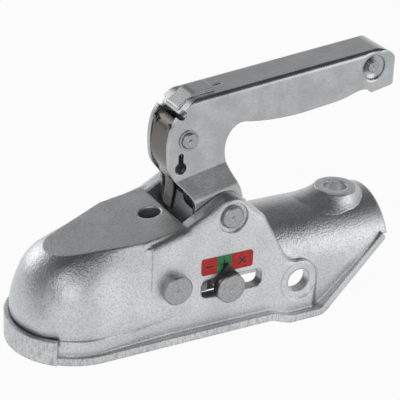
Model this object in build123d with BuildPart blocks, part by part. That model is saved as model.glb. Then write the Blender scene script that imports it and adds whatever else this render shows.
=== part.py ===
"""Ball coupling for a light trailer: forged head, hand lever, clamping jaw and safety catch.

Frame: the origin is the centre of the tow ball, +X runs back along the drawbar, +Z is up,
and the side with the wear indicator faces -Y. All sizes are in millimetres.
"""
import math
import os

from build123d import *

# Fits and clearances
running_clearance = 0.05
slide_clearance = 0.15
body_gap = 0.4
fork_clearance = 0.8

# Ball socket, drawbar channel and walls of the forged head
ball_d = 50.0
socket_clearance = 0.4
socket_relief_r = 8.0
socket_relief = 1.0
drawbar_d = 50.0
drawbar_clearance = 0.2
drawbar_axis_z = 7.5
drawbar_stop_x = 112.0
drawbar_stop_step = 0.6
cut_margin = 20.0
flank_wall = 7.8
tube_wall = 5.8
tube_end_x = 190.0
tube_front_x = 96.0

# Lower rim: a flange turned outwards, lowered under the cross bolt and rising at the tail
rim_z = -17.0
rim_thickness = 4.5
rim_reach = 4.0
rim_dip = 4.5
rim_dip_start_x = 109.0
rim_dip_end_x = 121.0
tail_low_x = 143.0
tail_high_x = 187.0
tail_high_z = 19.0

# Nose: the dome over the ball, its base band and the thick front lip
nose_wall = 9.1
base_height = 13.5
base_reach = 1.5
lip_reach = 5.0
lip_height = 14.5
lip_half_angle = 52.0
groove_depth = 4.0
groove_width = 2.3
nose_mid_z = 14.0
nose_shoulder_z = 28.0
nose_shoulder_in = 4.5
nose_edge_round = 2.2
nose_edge_out = 4.2

# Sloping top of the nose
top_slope = 9.5
top_z = 40.8
top_front_r = 15.0
top_front_x = -3.0
top_inset = 5.0
grease_hole_x = 46.0
grease_hole_d = 13.0

# Flanks and the two ears that carry the lever
flank_front_x = 32.0
flank_corner_r = 12.0
flank_edge_round = 5.0
ear_gap = 44.0
ear_r = 11.6
ear_front_slope = 30.5
ear_rear_slope = 41.4
ear_rear_z = 48.4
flank_rear_slope = 62.0
flank_blend_r = 9.0
opening_front_x = 55.5
opening_rear_x = 107.0
opening_corner_r = 5.0

# Bolt holes for the drawbar
bolt_hole_d = 14.5
cross_bolt_x = 128.0
cross_bolt_z = 2.6
cross_boss_r = 14.0
spot_face_d = 24.5
spot_face_depth = 0.7
top_bolt_x = 170.0
top_boss_r = 12.5
top_boss_height = 2.8

# Lever pivot
pivot_x = 82.0
pivot_z = 52.5
pivot_pin_d = 13.0
pivot_pin_proud = 2.5
pivot_head_d = 18.0
pivot_head_height = 3.5
pivot_recess_d = 18.5
pivot_recess_depth = 2.5

# Jaw guide pin behind the ball
guide_x = 46.0
guide_z = 17.0
guide_pin_d = 12.0
guide_bush_wall = 1.0
pin_head_d = 17.5
guide_head_height = 5.5
pin_edge_chamfer = 0.8
pin_tail = 2.5
ring_groove_depth = 1.2
ring_thickness = 1.5
ring_reach = 2.6
ring_opening_angle = 70.0

# Indicator pin, its washers and the slot that it travels in
indicator_x = 79.5
indicator_z = 11.2
indicator_pin_d = 11.3
indicator_head_height = 3.8
slot_front_x = 63.1
slot_rear_x = 102.4
slot_corner_r = 4.0
jaw_travel = 15.0
washer_thickness = 1.6
washer_d = 18.0
pointer_tip = 14.0
pointer_tip_r = 1.2
pointer_lean = 1.3

# Indicator label on the near flank
label_front_x = 62.6
label_rear_x = 95.4
label_low_z = 20.2
label_high_z = 30.4
label_thickness = 0.4
label_round = 1.5
label_notch_r = 2.4
label_notch_x = 77.5

# Clamping jaw
jaw_half = 17.6
jaw_low_z = -14.0
jaw_top_z = 27.5
jaw_top_chamfer = 5.0
jaw_rear_reach = 12.5
jaw_rear_top_z = 21.0
jaw_rear_low_z = 1.0
jaw_claw_x = 40.0
jaw_nose_x = 23.0

# Lever: pressed steel channel with a flared foot and a fork at each side
sheet = 3.0
lever_half = 13.0
foot_gap = 0.5
lever_bend_r = 3.2
grip_slope = 5.9
grip_front_x = 68.0
grip_front_z = 117.9
grip_end_x = 198.0
grip_end_r = 13.0
grip_corner_r = 5.0
grip_tail_depth = 25.0
flare_x = 68.0
flare_top_z = 74.0
flare_height = 12.5
flare_tilt = 12.0
fork_bottom_z = 3.0
fork_arm = 5.2
hump_rear_x = 80.5
hump_half = 6.5
hump_height = 1.9
slit_length = 8.0
slit_width = 2.0
keyhole_x = 58.0
keyhole_drop = 16.5
keyhole_r = 3.6
keyhole_slot = 3.2
keyhole_reach = 9.0
relief_x = 57.8
relief_z = 110.4
relief_r = 2.8

# Edges of the lever in the side view: distances from the pivot, and for the grip
# the distance ahead of its end and the depth below its top line
neck_front = [(-18.6, 3.4), (-20.1, 9.9), (-24.1, 15.0), (-30.4, 23.7), (-31.6, 30.0), (-31.9, 39.0),
              (-30.4, 48.9), (-27.0, 56.0)]
neck_rear = [(9.2, 46.0), (5.0, 40.7), (3.4, 34.3), (3.8, 28.1), (5.6, 21.5), (9.6, 12.5), (11.5, 4.5)]
finger_edge = [(98.0, 21.2), (81.0, 24.3), (64.0, 25.4), (48.0, 25.0), (32.0, 23.5), (20.5, 22.6)]
tail_hook = [(14.0, 27.8), (7.6, 30.4), (1.5, 28.5)]
hood_middle = (-20.5, 61.9)
hood_front_tangent = (1.0, 0.9)
arm_shoulder_z = 46.0
arm_neck_z = 38.0

# Rivet and spacer at the end of the grip
rivet_end = 16.5
rivet_depth = 10.0
rivet_d = 7.0
rivet_head_height = 1.6
rivet_shank_d = 5.0
dimple_d = 15.0
dimple_depth = 1.4
spacer_d = 9.0

# Safety catch and its pin
catch_x = 62.4
catch_z = 95.1
catch_pin_d = 9.5
catch_washer_d = 12.0
catch_washer = 0.8
catch_pin_proud = 2.4
catch_sheet = 2.5
catch_cheek_r = 8.0
tongue_half = 4.5

# Middle line of the catch's sheet, from the thumb end down to the tongue, measured from the pivot
catch_band = [(-24.4, 52.6), (-28.1, 48.8), (-29.8, 42.0), (-30.3, 33.0), (-29.3, 27.0), (-26.3, 21.2),
              (-23.4, 16.0)]
catch_tongue = [(-23.4, 16.0), (-22.8, 10.0), (-23.5, 4.0), (-24.2, -1.9)]
catch_cheek_half = 9.0
catch_leg_down = (-1.5, -28.5)
catch_leg_up = (8.1, 18.0)

# Springs
catch_wire = 1.4
catch_coil_turns = 4
lever_wire = 2.8
lever_coil_turns = 5
coil_pitch_gap = 0.4
leg_bend = 2.0
sleeve_wall = 1.6
lever_leg_up = (-10.0, 61.6)
lever_leg_down = (31.0, -13.5)

# Sizes worked out from the ones above
socket_r = ball_d / 2 + socket_clearance
channel_r = drawbar_d / 2 + drawbar_clearance
flank_half = channel_r + flank_wall
tube_r = channel_r + tube_wall
space_r = channel_r + drawbar_stop_step
top_rear_half = flank_half - top_inset
jaw_rear_x = indicator_x + jaw_rear_reach
keyhole_z = catch_z - keyhole_drop
tube_top_z = drawbar_axis_z + tube_r
rim_half = flank_half + rim_reach
nose_r = socket_r + nose_wall
base_r = nose_r + base_reach
lip_r = nose_r + lip_reach
base_top_z = rim_z + base_height
lip_top_z = rim_z + lip_height
ear_half = ear_gap / 2
foot_half = ear_half - foot_gap
foot_inner = foot_half - sheet
lever_inner = lever_half - sheet
slot_height = indicator_pin_d + 2 * slide_clearance
pivot_hole_r = pivot_pin_d / 2 + running_clearance
guide_hole_r = guide_pin_d / 2 + running_clearance
guide_bush_r = guide_pin_d / 2 + guide_bush_wall
indicator_hole_r = indicator_pin_d / 2 + running_clearance
washer_in = flank_half + label_thickness + body_gap
washer_out = washer_in + washer_thickness
catch_half = lever_inner - body_gap
catch_hole_r = catch_pin_d / 2 + running_clearance
fork_half = indicator_pin_d / 2 + fork_clearance
rivet_x = grip_end_x - rivet_end
sleeve_r = pivot_hole_r + sleeve_wall
lever_coil_r = sleeve_r + body_gap + lever_wire / 2
catch_coil_r = catch_pin_d / 2 + body_gap + catch_wire / 2
dimple_inner = lever_inner - dimple_depth
dimple_outer = lever_half - dimple_depth
fork_out = fork_half + fork_arm
pivot_near_y = flank_half - pivot_recess_depth + pivot_pin_proud
beyond = tube_end_x + cut_margin


def top_height(x):
    """Height of the nose's sloping top at a place along the coupling."""
    return top_z + math.tan(math.radians(top_slope)) * x


def grip_height(x):
    """Height of the grip's top line at a place along the lever."""
    return grip_front_z + math.tan(math.radians(grip_slope)) * (x - grip_front_x)


def below_grip(ahead, depth):
    """Point under the grip, from its distance ahead of the end and its depth below the top line."""
    return (grip_end_x - ahead, grip_height(grip_end_x - ahead) - depth)


def from_pivot(dx, dz):
    """Point in the side view, measured from the lever's pivot."""
    return (pivot_x + dx, pivot_z + dz)


def cross_plane(x, z, y):
    """Plane across a sideways hole or pin, facing the near side, at a distance y from the middle."""
    return Plane(origin=(x, y, z), x_dir=(1, 0, 0), z_dir=(0, -1, 0))


def nose_section(height, tilt, front_x, front_r, rear_half):
    """One closed section of the nose: a round front drawn out to a straight rear."""
    with BuildSketch(Plane(origin=(0, 0, height)).rotated((0, -tilt, 0))) as section:
        with Locations((front_x, 0)):
            Circle(front_r)
        with Locations((opening_front_x - base_height, 0)):
            Rectangle(2 * base_height, 2 * rear_half)
        make_hull()
    return section.sketch


def plan_outline(front_r, half, tail_half):
    """Outline from above: round at the ball, straight along the flanks, narrowing to the tail."""
    with BuildSketch(Plane.XY) as outline:
        Circle(front_r)
        with Locations((tail_low_x - flank_front_x, 0)):
            Rectangle(2 * flank_front_x, 2 * half)
        with Locations((tail_high_x, 0)):
            Rectangle(1, 2 * tail_half)
        make_hull()
    return outline.sketch


def retaining_ring(x, z, y, groove_r):
    """Open spring ring that sits in the groove of a cross pin."""
    gap_x = 2 * groove_r + ring_reach
    gap_z = gap_x * math.tan(math.radians(ring_opening_angle / 2))
    with BuildPart() as ring:
        with BuildSketch(cross_plane(x, z, y)):
            Circle(groove_r + ring_reach)
            Circle(groove_r + running_clearance, mode=Mode.SUBTRACT)
            with BuildLine():
                Polyline((0, 0), (gap_x, gap_z), (gap_x, -gap_z), close=True)
            make_face(mode=Mode.SUBTRACT)
        extrude(amount=-ring_thickness)
    return ring.part


def headed_pin(x, z, pin_d, head_height, near_y, far_y):
    """Cross pin with a chamfered head on the near side and a ring groove past its far seat."""
    with BuildPart() as pin:
        with BuildSketch(cross_plane(x, z, -near_y)):
            Circle(pin_head_d / 2)
        extrude(amount=head_height)
        chamfer(pin.faces().sort_by(Axis.Y)[0].edges(), pin_edge_chamfer)
        with BuildSketch(cross_plane(x, z, -near_y)):
            Circle(pin_d / 2)
        extrude(amount=-(near_y + far_y + ring_thickness + pin_tail))
        chamfer(pin.faces().sort_by(Axis.Y)[-1].edges(), pin_edge_chamfer)
        with BuildSketch(cross_plane(x, z, far_y)):
            Circle(pin_d / 2 + running_clearance)
            Circle(pin_d / 2 - ring_groove_depth, mode=Mode.SUBTRACT)
        extrude(amount=-(ring_thickness + 2 * running_clearance), mode=Mode.SUBTRACT)
    return pin.part


def torsion_spring(x, z, coil_r, wire, turns, legs):
    """Coil round a cross pin, with a bent leg at each end.

    Args: legs are the two leg ends, as (dx, dz) from the pin's axis.
    """
    pitch = wire + coil_pitch_gap
    height = pitch * turns
    bend = leg_bend * wire
    with BuildPart() as spring:
        with BuildLine() as path:
            level = Helix(pitch, height, coil_r, center=(x, height / 2, z), direction=(0, -1, 0),
                          mode=Mode.PRIVATE)
            coil = level.rotate(Axis((x, 0, z), (0, 1, 0)), -90)
            add(coil)
            for end, outward, (dx, dz) in ((0, -bend, legs[0]), (1, bend, legs[1])):
                corner = (coil @ end) + (coil % end) * outward
                FilletPolyline(coil @ end, corner, (x + dx, corner.Y, z + dz), radius=bend)
        route = path.wires()[0]
        with BuildSketch(Plane(origin=route @ 0, z_dir=route % 0)):
            Circle(wire / 2)
        sweep(path=route)
    return spring.part


# Nose: a dome drawn up from a round base to the sloping top
with BuildPart() as nose:
    loft([
        nose_section(base_top_z - groove_depth, 0, 0, nose_r, flank_half - top_inset / 2),
        nose_section(nose_mid_z, 0, 0, nose_r, flank_half - top_inset / 2),
        nose_section(nose_shoulder_z, top_slope / 2, 0, nose_r - nose_shoulder_in,
                     flank_half - 0.7 * top_inset),
        nose_section(top_z - nose_edge_round, top_slope, top_front_x, top_front_r + nose_edge_out,
                     flank_half - 0.8 * top_inset),
        nose_section(top_z, top_slope, top_front_x, top_front_r, top_rear_half),
    ])

# Flanks: side profile of both walls, ears and cross bolt bosses
ear_sine = math.sin(math.radians(ear_front_slope + ear_rear_slope))
ear_cosines = math.cos(math.radians(ear_front_slope)) - math.cos(math.radians(ear_rear_slope))
ear_sines = math.sin(math.radians(ear_front_slope)) + math.sin(math.radians(ear_rear_slope))
ear_apex = from_pivot(ear_r * ear_cosines / ear_sine, ear_r * ear_sines / ear_sine)
front_tan = math.tan(math.radians(ear_front_slope))
ear_front_x = ((ear_apex[1] - top_z - front_tan * ear_apex[0])
               / (math.tan(math.radians(top_slope)) - front_tan))
ear_rear_x = ear_apex[0] + (ear_apex[1] - ear_rear_z) / math.tan(math.radians(ear_rear_slope))
boss_top_z = cross_bolt_z + cross_boss_r
boss_rear_x = cross_bolt_x + cross_boss_r
boss_front_x = ear_rear_x + (ear_rear_z - boss_top_z) / math.tan(math.radians(flank_rear_slope))
with BuildPart() as flanks:
    with BuildSketch(Plane.XZ):
        with BuildLine():
            FilletPolyline(
                (flank_front_x - 2 * flank_corner_r, rim_z),
                (flank_front_x - 2 * flank_corner_r, base_top_z),
                (flank_front_x, base_top_z),
                (flank_front_x, top_height(flank_front_x) - nose_edge_round),
                (ear_front_x, top_height(ear_front_x)),
                ear_apex,
                (ear_rear_x, ear_rear_z),
                (boss_front_x, boss_top_z),
                (boss_rear_x, boss_top_z),
                (boss_rear_x, rim_z - rim_dip),
                (rim_dip_end_x, rim_z - rim_dip),
                (rim_dip_start_x, rim_z),
                radius=[0, 0, flank_corner_r, 0, flank_blend_r, ear_r, flank_blend_r, flank_blend_r,
                        cross_boss_r, 0, 0, 0],
                close=True,
            )
        make_face()
    extrude(amount=flank_half, both=True)
    rounded = flanks.edges().filter_by(
        lambda e: abs(abs(e.center().Y) - flank_half) < 0.01 and e.center().X > flank_front_x + 1
        and e.center().Z > cross_bolt_z + cross_boss_r / 2)
    fillet(rounded, flank_edge_round)

# Rim: a bent strip cut to the outline seen from above
rim_mid_z = rim_z + rim_thickness / 2
with BuildPart() as rim:
    with BuildSketch(Plane.XZ):
        with BuildLine():
            FilletPolyline(
                (-2 * base_r, rim_mid_z),
                (rim_dip_start_x, rim_mid_z),
                (rim_dip_end_x, rim_mid_z - rim_dip),
                (tail_low_x, rim_mid_z - rim_dip),
                (tail_high_x, tail_high_z),
                radius=flank_blend_r,
            )
        trace(line_width=rim_thickness)
    extrude(amount=2 * rim_half, both=True)
    extrude(plan_outline(lip_r - 1, rim_half, tube_r), amount=beyond, both=True, mode=Mode.INTERSECT)

with BuildPart() as housing:
    add(nose.part)
    add(flanks.part)
    # Base band round the nose, with the thick lip at the front
    with BuildSketch(Plane.XY.offset(rim_z)):
        Circle(base_r)
        with Locations((flank_front_x, 0)):
            Rectangle(2 * flank_corner_r, 2 * flank_half)
        make_hull()
    extrude(amount=base_height)
    with BuildSketch(Plane.XY.offset(rim_z)):
        Circle(lip_r)
        lip_tan = math.tan(math.radians(lip_half_angle))
        with BuildLine():
            Polyline((0, 0), (-2 * lip_r, 2 * lip_r * lip_tan), (-2 * lip_r, -2 * lip_r * lip_tan),
                     close=True)
        make_face(mode=Mode.INTERSECT)
    extrude(amount=lip_height)
    with BuildSketch(Plane.XY.offset(lip_top_z)):
        Circle(nose_r + groove_width)
        with BuildLine():
            Polyline((0, 0), (-2 * lip_r, 2 * lip_r * lip_tan), (-2 * lip_r, -2 * lip_r * lip_tan),
                     close=True)
        make_face(mode=Mode.INTERSECT)
        Circle(nose_r, mode=Mode.SUBTRACT)
    extrude(amount=-groove_depth, mode=Mode.SUBTRACT)
    # Half-round drawbar sleeve with straight lower walls, trimmed along the rising tail
    with BuildSketch(Plane.YZ.offset(tube_front_x)):
        with Locations((0, drawbar_axis_z)):
            Circle(tube_r)
        with Locations((0, (drawbar_axis_z + rim_z - rim_dip) / 2)):
            Rectangle(2 * tube_r, drawbar_axis_z - rim_z + rim_dip)
    extrude(amount=tube_end_x - tube_front_x)
    with BuildSketch(Plane.XZ):
        with BuildLine():
            Polyline(
                (tube_front_x, rim_mid_z),
                (rim_dip_start_x, rim_mid_z),
                (rim_dip_end_x, rim_mid_z - rim_dip),
                (tail_low_x, rim_mid_z - rim_dip),
                (tail_high_x, tail_high_z),
                (beyond, tail_high_z),
                (beyond, -beyond),
                (tube_front_x, -beyond),
                close=True,
            )
        make_face()
    extrude(amount=2 * rim_half, both=True, mode=Mode.SUBTRACT)
    add(rim.part)
    # Boss of the vertical bolt
    with BuildSketch(Plane.XY.offset(drawbar_axis_z)):
        with Locations((top_bolt_x, 0)):
            Circle(top_boss_r)
    extrude(amount=tube_r + top_boss_height)
    # Space between the ears and the way down into the head
    with BuildSketch(Plane.XY.offset(tube_top_z)):
        with Locations(((ear_front_x + boss_rear_x) / 2, 0)):
            Rectangle(boss_rear_x - ear_front_x, ear_gap)
    extrude(amount=beyond, mode=Mode.SUBTRACT)
    with BuildSketch(Plane.XY.offset(drawbar_axis_z)):
        with Locations(((opening_front_x + opening_rear_x) / 2, 0)):
            RectangleRounded(opening_rear_x - opening_front_x, ear_gap, opening_corner_r)
    extrude(amount=beyond, mode=Mode.SUBTRACT)
    # Mechanism space, drawbar channel behind its stop, and ball socket, all open below
    for front_x, half, length in ((ball_d / 4, space_r, drawbar_stop_x - ball_d / 4),
                                  (drawbar_stop_x, channel_r, beyond)):
        with BuildSketch(Plane.YZ.offset(front_x)):
            with Locations((0, drawbar_axis_z)):
                Circle(half)
            with Locations((0, drawbar_axis_z - beyond / 2)):
                Rectangle(2 * half, beyond)
        extrude(amount=length, mode=Mode.SUBTRACT)
    Sphere(socket_r, mode=Mode.SUBTRACT)
    with BuildSketch(Plane.XY):
        Circle(socket_r)
    extrude(amount=-beyond, mode=Mode.SUBTRACT)
    with BuildSketch(Plane.XY):
        Circle(socket_relief_r)
    extrude(amount=socket_r + socket_relief, mode=Mode.SUBTRACT)
    # Bolt holes, pin holes, indicator slots and the hole in the sloping top
    with BuildSketch(Plane.XY.offset(drawbar_axis_z)):
        with Locations((top_bolt_x, 0)):
            Circle(bolt_hole_d / 2)
        with Locations((grease_hole_x, 0)):
            Circle(grease_hole_d / 2)
    extrude(amount=beyond, mode=Mode.SUBTRACT)
    with BuildSketch(Plane.XZ):
        with Locations((cross_bolt_x, cross_bolt_z)):
            Circle(bolt_hole_d / 2)
        with Locations((guide_x, guide_z)):
            Circle(guide_hole_r)
        with Locations((pivot_x, pivot_z)):
            Circle(pivot_hole_r)
        with Locations(((slot_front_x + slot_rear_x) / 2, indicator_z)):
            RectangleRounded(slot_rear_x - slot_front_x, slot_height, slot_corner_r)
    extrude(amount=beyond, both=True, mode=Mode.SUBTRACT)
    for side in (1, -1):
        with BuildSketch(cross_plane(cross_bolt_x, cross_bolt_z, side * flank_half)):
            Circle(spot_face_d / 2)
        extrude(amount=side * spot_face_depth, mode=Mode.SUBTRACT)
    with BuildSketch(cross_plane(pivot_x, pivot_z, -flank_half)):
        Circle(pivot_recess_d / 2)
    extrude(amount=-pivot_recess_depth, mode=Mode.SUBTRACT)

# Lever side view, from the front of the neck round the grip and down to the forks
with BuildSketch(Plane.XZ) as lever_profile:
    with BuildLine():
        hood_front = from_pivot(*neck_front[-1])
        grip_front = (grip_front_x, grip_front_z)
        grip_back = (grip_end_x, grip_height(grip_end_x) - grip_tail_depth)
        Spline([from_pivot(*point) for point in neck_front])
        Spline([hood_front, from_pivot(*hood_middle), grip_front],
               tangents=[hood_front_tangent, (1, math.tan(math.radians(grip_slope)))])
        FilletPolyline(grip_front, (grip_end_x, grip_height(grip_end_x)), grip_back, radius=grip_end_r)
        finger_front = below_grip(*finger_edge[0])
        Spline([grip_back] + [below_grip(*point) for point in reversed(tail_hook)]
               + [below_grip(*point) for point in reversed(finger_edge)])
        Spline([finger_front] + [from_pivot(*point) for point in neck_rear])
        Polyline(
            from_pivot(*neck_rear[-1]),
            (pivot_x + neck_rear[-1][0], arm_shoulder_z),
            (indicator_x + fork_out, arm_neck_z),
            (indicator_x + fork_out, fork_bottom_z),
            (indicator_x - fork_out, fork_bottom_z),
            (indicator_x - fork_out, arm_neck_z),
            (pivot_x + neck_front[0][0], arm_shoulder_z),
            from_pivot(*neck_front[0]),
        )
    make_face()

# Joggled walls of the lever's foot, drawn across the tilted fold
wall_mid = lever_half - sheet / 2
foot_mid = foot_half - sheet / 2
fold_dir = (math.cos(math.radians(flare_tilt)), 0, math.sin(math.radians(flare_tilt)))
fold_plane = Plane(origin=(flare_x, 0, flare_top_z), x_dir=(0, 1, 0), z_dir=fold_dir)
with BuildPart() as lever_foot:
    for side in (1, -1):
        with BuildSketch(fold_plane):
            with BuildLine():
                FilletPolyline(
                    (side * wall_mid, flare_height),
                    (side * wall_mid, 0),
                    (side * foot_mid, -flare_height),
                    (side * foot_mid, -beyond / 2),
                    radius=sheet,
                )
            trace(line_width=sheet)
        extrude(amount=flare_x / 2, both=True)
    extrude(lever_profile.sketch, amount=beyond, both=True, mode=Mode.INTERSECT)

with BuildPart() as lever:
    extrude(lever_profile.sketch, amount=lever_half, both=True)
    # Bends along the web and round the end of the grip
    grip_dir = (math.cos(math.radians(grip_slope)), 0, math.sin(math.radians(grip_slope)))
    with BuildSketch(Plane(origin=(0, 0, grip_height(0)), x_dir=(0, 1, 0), z_dir=grip_dir)):
        with Locations((0, -beyond)):
            RectangleRounded(2 * lever_half, 2 * beyond, lever_bend_r)
    extrude(amount=2 * beyond, both=True, mode=Mode.INTERSECT)
    with BuildSketch(Plane.XY):
        with Locations((grip_end_x - beyond, 0)):
            RectangleRounded(2 * beyond, 2 * lever_half, grip_corner_r)
    extrude(amount=beyond, mode=Mode.INTERSECT)
    split(bisect_by=Plane(origin=(flare_x, 0, flare_top_z + flare_height / 2), x_dir=(0, 1, 0),
                          z_dir=(-fold_dir[2], 0, fold_dir[0])), keep=Keep.TOP)
    with BuildSketch(Plane.XZ):
        with BuildLine():
            web_low_z = grip_front_z - sheet
            FilletPolyline(
                (0, relief_z),
                (relief_x + sheet, relief_z),
                (grip_front_x, web_low_z),
                (grip_end_x - sheet, grip_height(grip_end_x) - sheet),
                (grip_end_x - sheet, 0),
                (0, 0),
                radius=[0, 0, sheet, grip_end_r - sheet, 0, 0],
                close=True,
            )
        make_face()
    extrude(amount=lever_inner, both=True, mode=Mode.SUBTRACT)
    add(lever_foot.part)
    # Raised front of the web, with a slit behind it
    with BuildSketch(Plane.XZ):
        with BuildLine():
            FilletPolyline(
                (relief_x, relief_z),
                (relief_x, relief_z + hump_height),
                (grip_front_x, grip_front_z + hump_height),
                (hump_rear_x, grip_height(hump_rear_x) + hump_height),
                (hump_rear_x, grip_height(hump_rear_x) - sheet / 2),
                (grip_front_x, grip_front_z - sheet / 2),
                radius=[0, hump_height, 2 * sheet, 0, 0, 0],
                close=True,
            )
        make_face()
    extrude(amount=hump_half, both=True)
    with BuildSketch(Plane.XY.offset(grip_front_z - 2 * sheet)):
        with Locations((hump_rear_x + slit_length / 2, 0)):
            Rectangle(slit_length, slit_width)
    extrude(amount=beyond, mode=Mode.SUBTRACT)
    # Dimples for the rivet
    rivet_z = grip_height(rivet_x) - rivet_depth
    for side in (1, -1):
        with BuildSketch(cross_plane(rivet_x, rivet_z, side * dimple_inner)):
            Circle(dimple_d / 2)
        extrude(amount=-side * sheet)
        with BuildSketch(cross_plane(rivet_x, rivet_z, side * dimple_outer)):
            Circle(dimple_d / 2)
        extrude(amount=-side * sheet, mode=Mode.SUBTRACT)
    # Keyhole and relief hole in each wall
    for side in (1, -1):
        with BuildSketch(cross_plane(0, 0, side * lever_half)):
            with Locations((relief_x, relief_z)):
                Circle(relief_r)
            with Locations((keyhole_x, keyhole_z)):
                Circle(keyhole_r)
            with Locations((keyhole_x, keyhole_z + keyhole_reach / 2)):
                RectangleRounded(keyhole_slot, keyhole_reach, keyhole_slot / 2 - running_clearance)
        extrude(amount=side * sheet, mode=Mode.SUBTRACT)
    # Holes across both walls and the fork for the indicator pin
    with BuildSketch(Plane.XZ):
        with Locations((pivot_x, pivot_z)):
            Circle(pivot_hole_r)
        with Locations((catch_x, catch_z)):
            Circle(catch_hole_r)
        with Locations((rivet_x, rivet_z)):
            Circle(rivet_shank_d / 2 + running_clearance)
        with Locations((indicator_x, indicator_z + fork_clearance)):
            Circle(fork_half)
        with Locations((indicator_x, indicator_z + fork_clearance - beyond / 2)):
            Rectangle(2 * fork_half, beyond)
    extrude(amount=beyond, both=True, mode=Mode.SUBTRACT)

# Sleeve that carries the lever spring on the pivot pin
with BuildPart() as pivot_sleeve:
    with BuildSketch(cross_plane(pivot_x, pivot_z, 0)):
        Circle(sleeve_r)
        Circle(pivot_hole_r, mode=Mode.SUBTRACT)
    extrude(amount=foot_inner - running_clearance, both=True)

with BuildPart() as pivot_pin:
    with BuildSketch(cross_plane(pivot_x, pivot_z, -pivot_near_y)):
        Circle(pivot_pin_d / 2)
    extrude(amount=-(pivot_near_y + flank_half))
    chamfer(pivot_pin.faces().sort_by(Axis.Y)[0].edges(), pin_edge_chamfer)
    with BuildSketch(cross_plane(pivot_x, pivot_z, flank_half)):
        Circle(pivot_head_d / 2)
    extrude(amount=-pivot_head_height)
    chamfer(pivot_pin.faces().sort_by(Axis.Y)[-1].edges(), pin_edge_chamfer)

with BuildPart() as lever_spring:
    add(torsion_spring(pivot_x, pivot_z, lever_coil_r, lever_wire, lever_coil_turns,
                       (lever_leg_down, lever_leg_up)))

with BuildPart() as grip_rivet:
    with BuildSketch(cross_plane(rivet_x, rivet_z, 0)):
        Circle(rivet_shank_d / 2)
    extrude(amount=dimple_outer, both=True)
    for side in (1, -1):
        with BuildSketch(cross_plane(rivet_x, rivet_z, side * dimple_outer)):
            Circle(rivet_d / 2)
        extrude(amount=-side * rivet_head_height)
    fillet(grip_rivet.faces().sort_by(Axis.Y)[0].edges(), rivet_head_height / 2)
    fillet(grip_rivet.faces().sort_by(Axis.Y)[-1].edges(), rivet_head_height / 2)

with BuildPart() as grip_spacer:
    with BuildSketch(cross_plane(rivet_x, rivet_z, 0)):
        Circle(spacer_d / 2)
        Circle(rivet_shank_d / 2 + running_clearance, mode=Mode.SUBTRACT)
    extrude(amount=dimple_inner - running_clearance, both=True)

with BuildPart() as catch_pin:
    with BuildSketch(cross_plane(catch_x, catch_z, 0)):
        Circle(catch_pin_d / 2)
    extrude(amount=lever_half + catch_pin_proud, both=True)
    chamfer(catch_pin.faces().sort_by(Axis.Y)[0].edges(), pin_edge_chamfer)
    chamfer(catch_pin.faces().sort_by(Axis.Y)[-1].edges(), pin_edge_chamfer)

with BuildPart() as catch_washer_near:
    with BuildSketch(cross_plane(catch_x, catch_z, -lever_half)):
        Circle(catch_washer_d / 2)
        Circle(catch_hole_r, mode=Mode.SUBTRACT)
    extrude(amount=catch_washer)

with BuildPart() as catch_washer_far:
    with BuildSketch(cross_plane(catch_x, catch_z, lever_half)):
        Circle(catch_washer_d / 2)
        Circle(catch_hole_r, mode=Mode.SUBTRACT)
    extrude(amount=-catch_washer)

# Safety catch: a bent band with two cheeks round the pin and a narrow tongue
with BuildPart() as safety_catch:
    with BuildSketch(Plane.XZ):
        with BuildLine():
            Spline([from_pivot(*point) for point in catch_band])
        trace(line_width=catch_sheet)
    extrude(amount=catch_half, both=True)
    with BuildSketch(Plane.XZ):
        with BuildLine():
            Spline([from_pivot(*point) for point in catch_tongue])
        trace(line_width=catch_sheet)
    extrude(amount=tongue_half, both=True)
    for side in (1, -1):
        with BuildSketch(cross_plane(catch_x, catch_z, side * catch_half)):
            Circle(catch_cheek_r)
            with Locations((pivot_x + catch_band[2][0] - catch_x, 0)):
                Rectangle(catch_sheet / 2, 2 * catch_cheek_half)
            make_hull()
            Circle(catch_hole_r, mode=Mode.SUBTRACT)
        extrude(amount=side * catch_sheet)

with BuildPart() as catch_spring:
    add(torsion_spring(catch_x, catch_z, catch_coil_r, catch_wire, catch_coil_turns,
                       (catch_leg_down, catch_leg_up)))

# Clamping jaw: slides on the guide bush and closes under the ball
with BuildPart() as clamping_jaw:
    with BuildSketch(Plane.XZ):
        with BuildLine():
            Polyline(
                (jaw_nose_x, jaw_rear_top_z),
                (guide_x - guide_pin_d, jaw_top_z),
                (guide_x + guide_pin_d, jaw_top_z),
                (indicator_x - indicator_pin_d, jaw_rear_top_z),
                (jaw_rear_x, jaw_rear_top_z),
                (jaw_rear_x, jaw_rear_low_z),
                (indicator_x - indicator_pin_d, jaw_rear_low_z),
                (jaw_claw_x, jaw_low_z),
                (jaw_nose_x / 2, jaw_low_z),
                close=True,
            )
        make_face()
    extrude(amount=jaw_half, both=True)
    top_edges = clamping_jaw.edges().filter_by(
        lambda e: abs(abs(e.center().Y) - jaw_half) < 0.01
        and e.center().Z > (jaw_top_z + jaw_rear_top_z) / 2 - 1)
    chamfer(top_edges, jaw_top_chamfer)
    Sphere(socket_r, mode=Mode.SUBTRACT)
    with BuildSketch(Plane.XZ):
        with Locations((guide_x - jaw_travel / 2, guide_z)):
            SlotCenterToCenter(jaw_travel, 2 * (guide_bush_r + slide_clearance))
        with Locations((indicator_x, indicator_z)):
            Circle(indicator_hole_r)
    extrude(amount=beyond, both=True, mode=Mode.SUBTRACT)

with BuildPart() as guide_bush:
    with BuildSketch(cross_plane(guide_x, guide_z, 0)):
        Circle(guide_bush_r)
        Circle(guide_hole_r, mode=Mode.SUBTRACT)
    extrude(amount=jaw_half + body_gap, both=True)

with BuildPart() as guide_pin:
    add(headed_pin(guide_x, guide_z, guide_pin_d, guide_head_height, flank_half, flank_half))

with BuildPart() as guide_pin_ring:
    add(retaining_ring(guide_x, guide_z, flank_half + running_clearance,
                       guide_pin_d / 2 - ring_groove_depth))

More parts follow.
